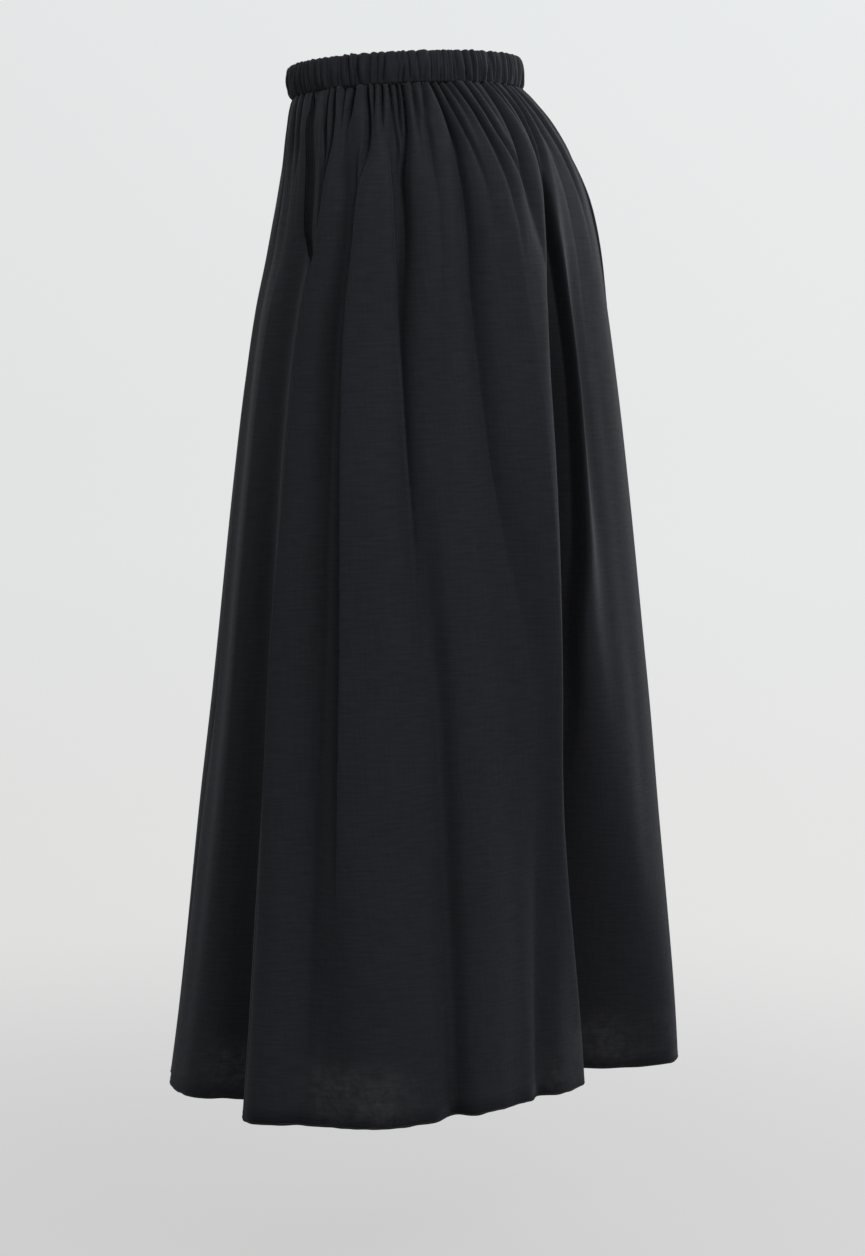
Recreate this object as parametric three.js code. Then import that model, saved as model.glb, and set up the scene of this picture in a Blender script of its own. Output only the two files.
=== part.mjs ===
// Maxi skirt: a gathered elastic waist, an A-line front and back, slant pockets at both sides.
// Millimetres, +Z up. The origin is the middle of the waist, halfway up the band.
// The front faces -Y and the wearer's left is +X. It keeps the hollow shape it has when worn.
// Angles run round the waist in degrees: 0 centre front, 90 left side seam, 180 centre back, 270 right.
// Depth is measured down the cloth from the waist seam.
import * as THREE from 'three';

// Driving sizes
const bandHeight = 28;
const panelLength = 972;
const clothThickness = 1.4;
const pocketClothThickness = 1.2;
const seamGap = 0.3;
const waistTilt = 8;
const hemTilt = 9;
const hemRise = 5;

// Waistband: a casing puffed out over elastic, in small ruches
const bandTop = { side: 122, back: 101, centre: 3 };
const rucheCount = 52;
const rucheHeight = 1.7;
const meanRuche = 0.8;
const columnsPerRuche = 4;
const rucheSpacing = [
  { times: 4, size: 1.3, start: 1.1 },
  { times: 9, size: 0.9, start: 0.4 },
  { times: 15, size: 0.5, start: 2.0 },
];
const rucheHeights = [
  { times: 6, size: 0.3, start: 2.5 },
  { times: 11, size: 0.2, start: 0.0 },
];
const bandProfile = [
  { place: 'outer bottom', up: 0, out: 0.6, ruched: 0.3 },
  { place: 'outer low', up: 0.24, out: 3.8, ruched: 1 },
  { place: 'outer high', up: 0.76, out: 4.0, ruched: 1 },
  { place: 'outer top', up: 1, out: 1.4, ruched: 0.5 },
  { place: 'inner top', up: 0.97, out: -2.0, ruched: 0 },
  { place: 'inner bottom', up: 0, out: -2.4, ruched: 0 },
];

// The skirt's plan at each depth: half width to the side, half depth to the back, how far back its centre is
const sections = [
  { depth: 0, side: 126, back: 103, centre: 6 },
  { depth: 36, side: 144, back: 120, centre: 21 },
  { depth: 74, side: 156, back: 133, centre: 32 },
  { depth: 113, side: 165, back: 144, centre: 37 },
  { depth: 152, side: 172, back: 153, centre: 38 },
  { depth: 210, side: 182, back: 164, centre: 36 },
  { depth: 288, side: 192, back: 176, centre: 35 },
  { depth: 406, side: 205, back: 190, centre: 35 },
  { depth: 564, side: 221, back: 206, centre: 35 },
  { depth: 725, side: 237, back: 223, centre: 32 },
  { depth: 887, side: 254, back: 241, centre: 28 },
  { depth: 972, side: 264, back: 250, centre: 25 },
];

// Folds. angle, out and lean are given at these depths: waist, hip, thigh, knee and hem.
// width is in degrees at the waist and at the hem. A ridge stands out, a valley goes in.
// lean pushes a fold sideways round the skirt, so that it overhangs its neighbour.
const foldDepths = [0, 90, 300, 600, 972];
const folds = [
  { name: 'valley before the side ridge', angle: [84, 80, 76, 75, 75], width: [5, 9],
    out: [0, -3, -8, -22, -54] },
  { name: 'left side ridge', angle: [97, 91, 89, 92, 97], width: [6, 9], out: [2, 5, 8, 12, 16],
    lean: [-3, -5, -9, -13, -14] },
  { name: 'valley behind the side ridge', angle: [105, 99, 98, 100, 107], width: [3, 7],
    out: [-3, -6, -10, -13, -12], lean: [0, -2, -4, -4, 0] },
  { name: 'second ridge', angle: [112, 106, 106, 109, 116], width: [4, 11], out: [2, 4, 7, 7, 8],
    lean: [0, -4, -7, -7, -2] },
  { name: 'short crease', angle: [126, 119, 119, 128, 134], width: [2.5, 9], out: [-4, -10, -7, -7, -7] },
  { name: 'curved crease', angle: [150, 142, 145, 152, 160], width: [3, 9], out: [-3, -5, -7, -7, -7] },
  { name: 'flat of the back', angle: [150, 150, 151, 155, 158], width: [20, 22], out: [0, 0, -3, -14, -42] },
  { name: 'left back ridge', angle: [162, 162, 161, 163, 170], width: [4, 10], out: [2, 4, 4, 2, 0],
    lean: [0, 2, 3, 2, 0] },
  { name: 'centre back ridge', angle: [178, 174, 163, 161, 177], width: [4, 9], out: [2, 4, 6, 1, -28],
    lean: [0, 3, 7, 14, 11] },
  { name: 'deep back valley', angle: [183, 180, 175, 177, 195], width: [3.5, 11], out: [0, -6, -40, -72, -112],
    lean: [0, 0, 1, -4, -10] },
  { name: 'ridge in the valley', angle: [188, 186, 184, 187, 205], width: [3, 5], out: [1, 4, 14, 10, 0],
    lean: [0, 0, -6, -5, 0] },
  { name: 'right back crease', angle: [197, 195, 194, 197, 206], width: [5, 6], out: [-1, -4, -6, -4, 0] },
  { name: 'right back ridge', angle: [206, 206, 206, 208, 216], width: [8, 12], out: [0, 2, 2, 2, 4],
    lean: [0, 0, 0, -4, -8] },
  { name: 'right back valley', angle: [238, 234, 232, 235, 238], width: [5, 10], out: [-2, -5, -12, -26, -48] },
  { name: 'right hip ridge', angle: [250, 248, 247, 249, 254], width: [5, 9], out: [2, 4, 6, 8, 12],
    lean: [0, 3, 5, 6, 8] },
  { name: 'right hip crease', angle: [259, 258, 258, 259, 264], width: [3, 6], out: [-3, -5, -8, -8, -8] },
  { name: 'right side ridge', angle: [265, 269, 271, 270, 268], width: [5, 9], out: [2, 4, 7, 10, 14],
    lean: [3, 5, 8, 11, 10] },
  { name: 'right front valley', angle: [277, 281, 285, 287, 289], width: [5, 9], out: [0, -3, -7, -20, -42] },
  { name: 'right front ridge', angle: [300, 302, 304, 306, 309], width: [6, 10], out: [0, 2, 5, 8, 12],
    lean: [0, 0, 2, 4, 4] },
  { name: 'right front crease', angle: [318, 320, 322, 325, 328], width: [4, 8], out: [-2, -4, -6, -12, -22] },
  { name: 'centre front ridge', angle: [338, 340, 342, 344, 346], width: [5, 10], out: [1, 3, 5, 7, 10],
    lean: [0, 0, 0, 2, 4] },
  { name: 'centre front valley', angle: [358, 359, 360, 361, 363], width: [5, 9], out: [-2, -4, -8, -16, -30] },
  { name: 'left front ridge', angle: [14, 15, 17, 19, 21], width: [5, 9], out: [1, 2, 3, 4, 5],
    lean: [0, 0, 0, -2, -3] },
  { name: 'left front crease', angle: [54, 55, 56, 57, 57], width: [4, 7], out: [-1, -2, -3, -3, -3] },
];

// Gathers at the waist seam: small ones that fade over the hip, and every second one that runs on further.
// The waves make their spacing and height uneven: how many times round, how large, and where each one starts.
const gatherCount = 50;
const shortGather = {
  height: 3.0,
  meanHeight: 0.75,
  reach: 60,
  reachWave: { times: 4, size: 30, start: 2 },
  fade: 1.5,
  atSeam: 0.35,
  start: 14,
};
const longGather = {
  height: 2.3,
  meanHeight: 0.8,
  heightWave: { times: 6, size: 0.4, start: 0 },
  reach: 170,
  fade: 1.6,
  start: 25,
  lag: 0.8,
};
const gatherSpacing = [
  { times: 3, size: 1.5, start: 0.7 },
  { times: 7, size: 1.0, start: 2.1 },
  { times: 12, size: 0.6, start: 4.0 },
];
const gatherHeights = [
  { times: 5, size: 0.35, start: 1.0 },
  { times: 9, size: 0.2, start: 3.0 },
];
const pocketCalm = { angle: 78, width: 15, share: 0.7 };

// Pockets: the mouth leaves the waist seam forward of the side seam and scoops back to it
const sideSeamAngle = 90;
const mouthLine = [
  { depth: 0, angle: 80 },
  { depth: 40, angle: 76 },
  { depth: 95, angle: 76 },
  { depth: 130, angle: 77 },
  { depth: 150, angle: 80.5 },
  { depth: 168, angle: 90 },
];
const mouthDepth = 168;
const hipPieceEase = { from: 2, to: 16 };
const mouthEndShare = 0.25;
const seamSqueeze = 0.3;
const bagInset = 1.8;
const hipPieceInset = 5.0;

// Rows of cloth down the panels and columns across one panel. The rows by the waist have twice the columns.
const topRows = [0, 10, 26, 50, 85, 130];
const lowRows = [150, 168, 220, 280, 350, 430, 520, 620, 730, 850, 972];
const bagRows = [150, 168, 220, 280];
const panelColumns = 48;

// A panel is one cloth. It is kept as three solids that meet at these depths,
// so that each one bends round less of the hollow.
const panelParts = [
  { name: 'upper', from: 0, to: 168 },
  { name: 'middle', from: 168, to: 520 },
  { name: 'lower', from: 520, to: panelLength },
];
const joinGap = 0.1;
const bagColumns = 10;
const hipColumns = 3;
const evenShare = 0.7;
const backGathering = 0.25;

const deepBackValley = folds.find((fold) => fold.name === 'deep back valley');

const clothFinish = { colour: '#1f1f23', roughness: 0.85 };
const pocketFinish = { colour: '#1b1b1f', roughness: 0.9 };

function toRadians(degrees) {
  return THREE.MathUtils.degToRad(degrees);
}

// A smooth value between rows, with no overshoot past them
function smoothBetween(places, values, place) {
  const last = places.length - 1;
  const x = THREE.MathUtils.clamp(place, places[0], places[last]);
  let i = 0;
  while (i < last - 1 && x >= places[i + 1]) i += 1;
  const rise = (k) => (values[k + 1] - values[k]) / (places[k + 1] - places[k]);
  const slopeAt = (k) => {
    if (k === 0) return rise(0);
    if (k === last) return rise(last - 1);
    const before = rise(k - 1);
    const after = rise(k);
    return before * after > 0 ? (2 * before * after) / (before + after) : 0;
  };
  const span = places[i + 1] - places[i];
  const t = (x - places[i]) / span;
  const fromStart = (2 * t ** 3 - 3 * t ** 2 + 1) * values[i] + (t ** 3 - 2 * t ** 2 + t) * span * slopeAt(i);
  const fromEnd = (3 * t ** 2 - 2 * t ** 3) * values[i + 1] + (t ** 3 - t ** 2) * span * slopeAt(i + 1);
  return fromStart + fromEnd;
}

function sectionSize(column, depth) {
  return smoothBetween(sections.map((row) => row.depth), sections.map((row) => row[column]), depth);
}

// One at the centre, falling to nothing on both sides
function bell(angle, centre, width) {
  const apart = THREE.MathUtils.euclideanModulo(angle - centre + 180, 360) - 180;
  return Math.exp(-((apart / width) ** 2));
}

function waveSum(waves, a) {
  return waves.reduce((sum, wave) => sum + wave.size * Math.sin(wave.times * a + wave.start), 0);
}

// How far the gathers stand out at a place
function gatherOut(angle, depth) {
  const a = toRadians(angle);
  const phase = gatherCount * a + waveSum(gatherSpacing, a);
  const uneven = shortGather.meanHeight + waveSum(gatherHeights, a);
  const reach = shortGather.reach + waveSum([shortGather.reachWave], a);
  const puffed = THREE.MathUtils.lerp(shortGather.atSeam, 1, Math.min(1, depth / shortGather.start));
  const short = shortGather.height * uneven * puffed * Math.exp(-((depth / reach) ** shortGather.fade));
  const longUneven = longGather.meanHeight + waveSum([longGather.heightWave], a);
  const longFade = Math.exp(-((depth / longGather.reach) ** longGather.fade));
  const long = longGather.height * longUneven * longFade * (1 - Math.exp(-depth / longGather.start));
  const leftCalm = bell(angle, pocketCalm.angle, pocketCalm.width);
  const rightCalm = bell(angle, -pocketCalm.angle, pocketCalm.width);
  const calm = 1 - pocketCalm.share * (leftCalm + rightCalm);
  return calm * (short * Math.cos(phase) + long * Math.cos(phase / 2 + longGather.lag));
}

// A point on an ellipse moved along the ellipse's own outward and sideways directions
function onEllipse(angle, size, out, along) {
  const a = toRadians(angle);
  const normal = new THREE.Vector2(Math.sin(a) / size.side, -Math.cos(a) / size.back).normalize();
  const x = size.side * Math.sin(a) + normal.x * out - normal.y * along;
  const y = size.centre - size.back * Math.cos(a) + normal.y * out + normal.x * along;
  return new THREE.Vector2(x, y);
}

// The cloth's outer surface in plan
function clothPlan(angle, depth) {
  const size = {
    side: sectionSize('side', depth),
    back: sectionSize('back', depth),
    centre: sectionSize('centre', depth),
  };
  let out = gatherOut(angle, depth);
  let along = 0;
  for (const fold of folds) {
    const centre = smoothBetween(foldDepths, fold.angle, depth);
    const width = THREE.MathUtils.lerp(fold.width[0], fold.width[1], depth / panelLength);
    const share = bell(angle, centre, width);
    out += share * smoothBetween(foldDepths, fold.out, depth);
    if (fold.lean) along += share * smoothBetween(foldDepths, fold.lean, depth);
  }
  return onEllipse(angle, size, out, along);
}

function seamHeight(angle) {
  return -bandHeight / 2 - waistTilt * Math.cos(toRadians(angle));
}

function clothHeight(angle, depth) {
  const top = seamHeight(angle) - seamGap;
  const hem = -bandHeight / 2 - panelLength + hemRise - hemTilt * Math.cos(toRadians(angle));
  return THREE.MathUtils.lerp(top, hem, depth / panelLength);
}

const tinyAngle = 0.02;

function clothPerDegree(angle, depth) {
  const before = clothPlan(angle - tinyAngle, depth);
  const after = clothPlan(angle + tinyAngle, depth);
  return after.distanceTo(before) / (2 * tinyAngle);
}

// A point of the cloth, moved in from its outer surface by inset
function clothPoint(angle, depth, inset) {
  const plan = clothPlan(angle, depth);
  const before = clothPlan(angle - tinyAngle, depth);
  const across = clothPlan(angle + tinyAngle, depth).sub(before).normalize();
  const x = plan.x - inset * across.y;
  const y = plan.y + inset * across.x;
  return new THREE.Vector3(x, y, clothHeight(angle, depth));
}

// The angle that is half a seam gap to one side of another
function besideSeam(angle, depth, side) {
  return angle + (side * seamGap) / 2 / clothPerDegree(angle, depth);
}

function mouthAngle(depth) {
  return smoothBetween(mouthLine.map((row) => row.depth), mouthLine.map((row) => row.angle), depth);
}

// The front panel's edge on one side: the pocket mouth, then the side seam. side is 1 left, -1 right.
function frontEdge(depth, side) {
  if (depth < mouthDepth) return side * mouthAngle(depth);
  return besideSeam(side * sideSeamAngle, depth, -side);
}

function makeSolid(points, faces) {
  const geometry = new THREE.BufferGeometry();
  const numbers = points.flatMap((point) => [point.x, point.y, point.z]);
  geometry.setAttribute('position', new THREE.Float32BufferAttribute(numbers, 3));
  geometry.setIndex(faces.flat());
  geometry.computeVertexNormals();
  return geometry;
}

// A wall of cloth. Each row has its outer and inner points from one side edge to the other,
// and a row may have half as many spans as the row above it.
function makeWall(rows) {
  const points = [];
  const faces = [];
  const addPoint = (point) => points.push(point) - 1;
  const layers = ['outer', 'inner'].map((layer) => rows.map((row) => row[layer].map(addPoint)));
  const addFace = (flip, a, b, c) => faces.push(flip ? [a, c, b] : [a, b, c]);
  const addQuad = (flip, a, b, c, d) => {
    addFace(flip, a, b, c);
    addFace(flip, a, c, d);
  };
  for (const [index, layer] of layers.entries()) {
    const flip = index === 1;
    for (let r = 0; r < layer.length - 1; r += 1) {
      const above = layer[r];
      const below = layer[r + 1];
      const halved = above.length > below.length;
      for (let j = 0; j < below.length - 1; j += 1) {
        if (halved) {
          addFace(flip, below[j], above[2 * j + 1], above[2 * j]);
          addFace(flip, below[j], below[j + 1], above[2 * j + 1]);
          addFace(flip, below[j + 1], above[2 * j + 2], above[2 * j + 1]);
        } else {
          addQuad(flip, below[j], below[j + 1], above[j + 1], above[j]);
        }
      }
    }
  }
  const [outer, inner] = layers;
  const bottom = outer.length - 1;
  for (let j = 0; j < outer[0].length - 1; j += 1) {
    addQuad(false, outer[0][j], outer[0][j + 1], inner[0][j + 1], inner[0][j]);
  }
  for (let j = 0; j < outer[bottom].length - 1; j += 1) {
    addQuad(true, outer[bottom][j], outer[bottom][j + 1], inner[bottom][j + 1], inner[bottom][j]);
  }
  for (let r = 0; r < bottom; r += 1) {
    addQuad(false, outer[r + 1][0], outer[r][0], inner[r][0], inner[r + 1][0]);
    addQuad(true, outer[r + 1].at(-1), outer[r].at(-1), inner[r].at(-1), inner[r + 1].at(-1));
  }
  return makeSolid(points, faces);
}

// One row of a wall, from a list of angles and the inset of its outer face at each
function wallRow(depth, angles, insetAt, thickness) {
  return {
    outer: angles.map((angle) => clothPoint(angle, depth, insetAt(angle))),
    inner: angles.map((angle) => clothPoint(angle, depth, insetAt(angle) + thickness)),
  };
}

// Columns of the front panel: even over its middle, and the outer ones follow the pocket mouth
function frontAngle(share, depth) {
  const evenAngle = evenShare * sideSeamAngle;
  if (Math.abs(share) <= evenShare) return share * sideSeamAngle;
  const side = Math.sign(share);
  const along = (Math.abs(share) - evenShare) / (1 - evenShare);
  return THREE.MathUtils.lerp(side * evenAngle, frontEdge(depth, side), along);
}

// Columns of the back panel: the middle one follows the deep back valley, and they lie closer together there
function backAngle(share, depth) {
  const edge = share < 0 ? besideSeam(sideSeamAngle, depth, 1) : besideSeam(360 - sideSeamAngle, depth, -1);
  const middle = smoothBetween(foldDepths, deepBackValley.angle, depth);
  const away = Math.abs(share);
  const closer = (backGathering * Math.sin(2 * Math.PI * away)) / (2 * Math.PI);
  return THREE.MathUtils.lerp(middle, edge, away - closer);
}

function shares(count, from, to) {
  return Array.from({ length: count + 1 }, (_, j) => THREE.MathUtils.lerp(from, to, j / count));
}

// One part of a panel, between two of its rows
function makePanelPart(angleAt, from, to) {
  const flush = () => 0;
  const rowAt = (row) => {
    const depth = row === from && from > 0 ? row + joinGap : row;
    const columns = topRows.includes(row) ? 2 * panelColumns : panelColumns;
    const angles = shares(columns, -1, 1).map((share) => angleAt(share, depth));
    return wallRow(depth, angles, flush, clothThickness);
  };
  const rows = [...topRows, ...lowRows].filter((row) => row >= from && row <= to);
  return makeWall(rows.map(rowAt));
}

// Angles listed from the lesser to the greater, whichever side the piece is on
function inOrder(angles, side) {
  return side > 0 ? angles : [...angles].reverse();
}

const bagShare = 1 - (2 * bagColumns) / panelColumns;

// The front layer of the pocket bag, behind the front panel and made from its points
function makePocketBag(side) {
  const rowAt = (depth, columns) => {
    const angles = shares(columns, bagShare, 1).map((share) => frontAngle(side * share, depth));
    return wallRow(depth, inOrder(angles, side), () => bagInset, pocketClothThickness);
  };
  const top = topRows.map((depth) => rowAt(depth, 2 * bagColumns));
  const low = bagRows.map((depth) => rowAt(depth, bagColumns));
  return makeWall([...top, ...low]);
}

// The hip piece: it shows between the pocket mouth and the side seam, and goes on down as the bag's back layer
function makeHipPiece(side) {
  const rowAt = (depth, twice) => {
    const seam = Math.abs(besideSeam(side * sideSeamAngle, depth, -side));
    const edge = Math.abs(frontEdge(depth, side));
    const tuckedShares = shares(twice * bagColumns, bagShare, 1);
    const tucked = tuckedShares.map((share) => Math.abs(frontAngle(side * share, depth)));
    const mouth = Math.min(edge, THREE.MathUtils.lerp(tucked.at(-2), seam, seamSqueeze));
    tucked[tucked.length - 1] = mouth;
    const shown = shares(twice * hipColumns, mouth, seam).slice(1);
    const angles = inOrder([...tucked, ...shown].map((angle) => side * angle), side);
    const insetAt = (angle) => {
      const pastMouth = (Math.abs(angle) - edge) * clothPerDegree(angle, depth);
      const aboveMouthEnd = (mouthDepth - depth) * mouthEndShare;
      const clear = Math.min(pastMouth, aboveMouthEnd);
      return hipPieceInset * (1 - THREE.MathUtils.smoothstep(clear, hipPieceEase.from, hipPieceEase.to));
    };
    return wallRow(depth, angles, insetAt, clothThickness);
  };
  const top = topRows.map((depth) => rowAt(depth, 2));
  const low = bagRows.map((depth) => rowAt(depth, 1));
  return makeWall([...top, ...low]);
}

function rucheOut(angle) {
  const a = toRadians(angle);
  const uneven = meanRuche + waveSum(rucheHeights, a);
  return rucheHeight * uneven * Math.cos(rucheCount * a + waveSum(rucheSpacing, a));
}

function bandPoint(angle, spot) {
  const bandBottom = sections[0];
  const size = {
    side: THREE.MathUtils.lerp(bandBottom.side, bandTop.side, spot.up),
    back: THREE.MathUtils.lerp(bandBottom.back, bandTop.back, spot.up),
    centre: THREE.MathUtils.lerp(bandBottom.centre, bandTop.centre, spot.up),
  };
  const plan = onEllipse(angle, size, spot.out + spot.ruched * rucheOut(angle), 0);
  return new THREE.Vector3(plan.x, plan.y, seamHeight(angle) + spot.up * bandHeight);
}

// The waistband: a closed ring, its profile carried once round the waist
function makeWaistband() {
  const columns = rucheCount * columnsPerRuche;
  const corners = bandProfile.length;
  const points = [];
  const faces = [];
  for (let i = 0; i < columns; i += 1) {
    for (const spot of bandProfile) points.push(bandPoint((360 * i) / columns, spot));
  }
  for (let i = 0; i < columns; i += 1) {
    const next = (i + 1) % columns;
    for (let p = 0; p < corners; p += 1) {
      const up = (p + 1) % corners;
      faces.push([i * corners + p, next * corners + p, next * corners + up]);
      faces.push([i * corners + p, next * corners + up, i * corners + up]);
    }
  }
  return makeSolid(points, faces);
}

function addPiece(parent, name, geometry, finish) {
  const { colour, roughness } = finish;
  const material = new THREE.MeshStandardMaterial({ color: colour, roughness, metalness: 0 });
  const mesh = new THREE.Mesh(geometry, material);
  mesh.name = name;
  parent.add(mesh);
}

const group = new THREE.Group();
addPiece(group, 'waistband', makeWaistband(), clothFinish);
for (const { name, from, to } of panelParts) {
  addPiece(group, `front_panel_${name}`, makePanelPart(frontAngle, from, to), clothFinish);
  addPiece(group, `back_panel_${name}`, makePanelPart(backAngle, from, to), clothFinish);
}
addPiece(group, 'pocket_hip_left', makeHipPiece(1), clothFinish);
addPiece(group, 'pocket_hip_right', makeHipPiece(-1), clothFinish);
addPiece(group, 'pocket_bag_left', makePocketBag(1), pocketFinish);
addPiece(group, 'pocket_bag_right', makePocketBag(-1), pocketFinish);

export default group;
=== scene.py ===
import math

import bpy
import numpy as np
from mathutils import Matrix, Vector


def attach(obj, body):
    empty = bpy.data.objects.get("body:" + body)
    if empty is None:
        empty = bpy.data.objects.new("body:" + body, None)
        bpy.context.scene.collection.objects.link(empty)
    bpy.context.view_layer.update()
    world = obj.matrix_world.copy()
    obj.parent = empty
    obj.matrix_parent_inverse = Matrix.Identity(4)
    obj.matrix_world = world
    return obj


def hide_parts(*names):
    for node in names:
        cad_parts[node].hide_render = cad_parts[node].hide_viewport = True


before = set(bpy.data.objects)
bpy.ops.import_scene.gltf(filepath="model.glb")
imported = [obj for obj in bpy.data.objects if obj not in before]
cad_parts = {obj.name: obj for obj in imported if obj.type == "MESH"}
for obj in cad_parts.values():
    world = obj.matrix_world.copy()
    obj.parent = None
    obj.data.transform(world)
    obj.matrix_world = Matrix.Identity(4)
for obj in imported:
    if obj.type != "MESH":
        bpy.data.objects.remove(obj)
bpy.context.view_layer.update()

# Maxi skirt in light charcoal cloth: ruched elastic waist, front and back panels, slant side pockets.
# Shapes are worked out in millimetres and put in the meshes in metres. Angles run round the waist in
# degrees: 0 centre front, 90 left side seam, 180 centre back, 270 right. Depth is down from the waist seam.

millimetre = 0.001

scene = bpy.context.scene
scene.view_settings.view_transform = "Standard"
scene.view_settings.look = "None"

camera = {
    "azimuth": 128.0,
    "distance": 3178.0,
    "height": -165.0,
    "lens": 92.0,
    "aimSide": 29.0,
    "aimHeight": -540.5,
    "sensorSide": 36,
    "clipEnd": 60,
}


def addCamera():
    turn = math.radians(camera["azimuth"])
    away = Vector((math.sin(turn), -math.cos(turn), 0)) * camera["distance"]
    sideways = Vector((math.cos(turn), math.sin(turn), 0)) * camera["aimSide"]
    place = away + Vector((0, 0, camera["height"]))
    aim = sideways + Vector((0, 0, camera["aimHeight"]))
    data = bpy.data.cameras.new("photoCamera")
    data.lens = camera["lens"]
    data.sensor_width = camera["sensorSide"]
    data.clip_end = camera["clipEnd"]
    taken = bpy.data.objects.new("photoCamera", data)
    taken.location = place * millimetre
    taken.rotation_euler = (aim - place).to_track_quat("-Z", "Y").to_euler()
    scene.collection.objects.link(taken)
    scene.camera = taken


addCamera()
print("camera placed")

# The skirt's plan: depth, half width to the side, half depth to the back, how far back it is centred
sections = np.array([
    (0, 126, 103, 6), (36, 144, 120, 21), (74, 156, 133, 32), (113, 165, 144, 37),
    (152, 172, 153, 38), (210, 182, 164, 36), (288, 192, 176, 35), (406, 205, 190, 35),
    (564, 221, 206, 35), (725, 237, 223, 32), (887, 254, 241, 28), (972, 264, 250, 25),
], float)

panel = {
    "length": 972,
    "bandHeight": 28,
    "seamGap": 0.06,
    "seamDrop": 0.3,
    "seamDip": 0.7,
    "seamDipWidth": 2.2,
    "tuckUnder": 1.4,
    "tuckUnderDepths": (-1, 9),
    "waistTilt": 8,
    "hemTilt": 9,
    "hemRise": 5,
    "sideSeam": 90,
    "thickness": 1.2,
    "columns": 500,
    "rows": 96,
    "topRowShare": 0.33,
    "evenShare": 0.7,
    "valleyShare": 0.25,
}

# Folds: angle, out and lean at the waist, hip, thigh, knee and hem; width in degrees at the waist and hem
foldDepths = np.array([0, 90, 300, 600, 972], float)
folds = [
    {"angle": (84, 80, 76, 75, 75), "width": (5, 9), "out": (0, -3, -8, -22, -54)},
    {"angle": (97, 91, 89, 92, 97), "width": (6, 9), "out": (2, 5, 8, 12, 16),
     "lean": (-3, -5, -9, -13, -14)},
    {"angle": (105, 99, 98, 100, 107), "width": (3, 7), "out": (-3, -6, -10, -13, -12),
     "lean": (0, -2, -4, -4, 0)},
    {"angle": (112, 106, 106, 109, 116), "width": (4, 11), "out": (2, 4, 7, 7, 8),
     "lean": (0, -4, -7, -7, -2)},
    {"angle": (126, 119, 119, 128, 134), "width": (2.5, 9), "out": (-4, -10, -7, -7, -7)},
    {"angle": (150, 142, 145, 152, 160), "width": (3, 9), "out": (-3, -5, -7, -7, -7)},
    {"angle": (150, 150, 151, 155, 158), "width": (20, 22), "out": (0, 0, -3, -14, -42)},
    {"angle": (162, 162, 161, 163, 170), "width": (4, 10), "out": (2, 4, 4, 2, 0), "lean": (0, 2, 3, 2, 0)},
    {"angle": (178, 174, 163, 161, 177), "width": (4, 9), "out": (2, 4, 6, 1, -28),
     "lean": (0, 3, 7, 14, 11)},
    {"angle": (183, 180, 175, 177, 195), "width": (3.5, 11), "out": (0, -6, -40, -72, -112),
     "lean": (0, 0, 1, -4, -10)},
    {"angle": (188, 186, 184, 187, 205), "width": (3, 5), "out": (1, 4, 14, 10, 0),
     "lean": (0, 0, -6, -5, 0)},
    {"angle": (197, 195, 194, 197, 206), "width": (5, 6), "out": (-1, -4, -6, -4, 0)},
    {"angle": (206, 206, 206, 208, 216), "width": (8, 12), "out": (0, 2, 2, 2, 4), "lean": (0, 0, 0, -4, -8)},
    {"angle": (238, 234, 232, 235, 238), "width": (5, 10), "out": (-2, -5, -12, -26, -48)},
    {"angle": (250, 248, 247, 249, 254), "width": (5, 9), "out": (2, 4, 6, 8, 12), "lean": (0, 3, 5, 6, 8)},
    {"angle": (259, 258, 258, 259, 264), "width": (3, 6), "out": (-3, -5, -8, -8, -8)},
    {"angle": (265, 269, 271, 270, 268), "width": (5, 9), "out": (2, 4, 7, 10, 14),
     "lean": (3, 5, 8, 11, 10)},
    {"angle": (277, 281, 285, 287, 289), "width": (5, 9), "out": (0, -3, -7, -20, -42)},
    {"angle": (300, 302, 304, 306, 309), "width": (6, 10), "out": (0, 2, 5, 8, 12), "lean": (0, 0, 2, 4, 4)},
    {"angle": (318, 320, 322, 325, 328), "width": (4, 8), "out": (-2, -4, -6, -12, -22)},
    {"angle": (338, 340, 342, 344, 346), "width": (5, 10), "out": (1, 3, 5, 7, 10), "lean": (0, 0, 0, 2, 4)},
    {"angle": (358, 359, 360, 361, 363), "width": (5, 9), "out": (-2, -4, -8, -16, -30)},
    {"angle": (14, 15, 17, 19, 21), "width": (5, 9), "out": (1, 2, 3, 4, 5), "lean": (0, 0, 0, -2, -3)},
    {"angle": (54, 55, 56, 57, 57), "width": (4, 7), "out": (-1, -2, -3, -3, -3)},
]

# Small gathers under the band; every second one runs on further down. Each wave is how high it is, how many
# times it goes round and where it starts.
gathers = {
    "count": 50,
    "shift": [(1.5, 3, 0.7), (1, 7, 2.1), (0.6, 12, 4)],
    "height": 1.7,
    "evenShare": 0.75,
    "uneven": [(0.35, 5, 1), (0.2, 9, 3)],
    "reach": 60,
    "unevenReach": [(30, 4, 2)],
    "fade": 1.5,
    "shareAtSeam": 0.35,
    "puffDepth": 14,
    "longHeight": 2.0,
    "longEvenShare": 0.8,
    "longUneven": [(0.4, 6, 0)],
    "longShift": 0.8,
    "longReach": 170,
    "longFade": 1.6,
    "longStart": 25,
    "sharpness": 0.85,
    "valley": 1.1,
    "pocketCalm": 0.7,
    "pocketAngle": 78,
    "pocketWidth": 15,
}

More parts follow.
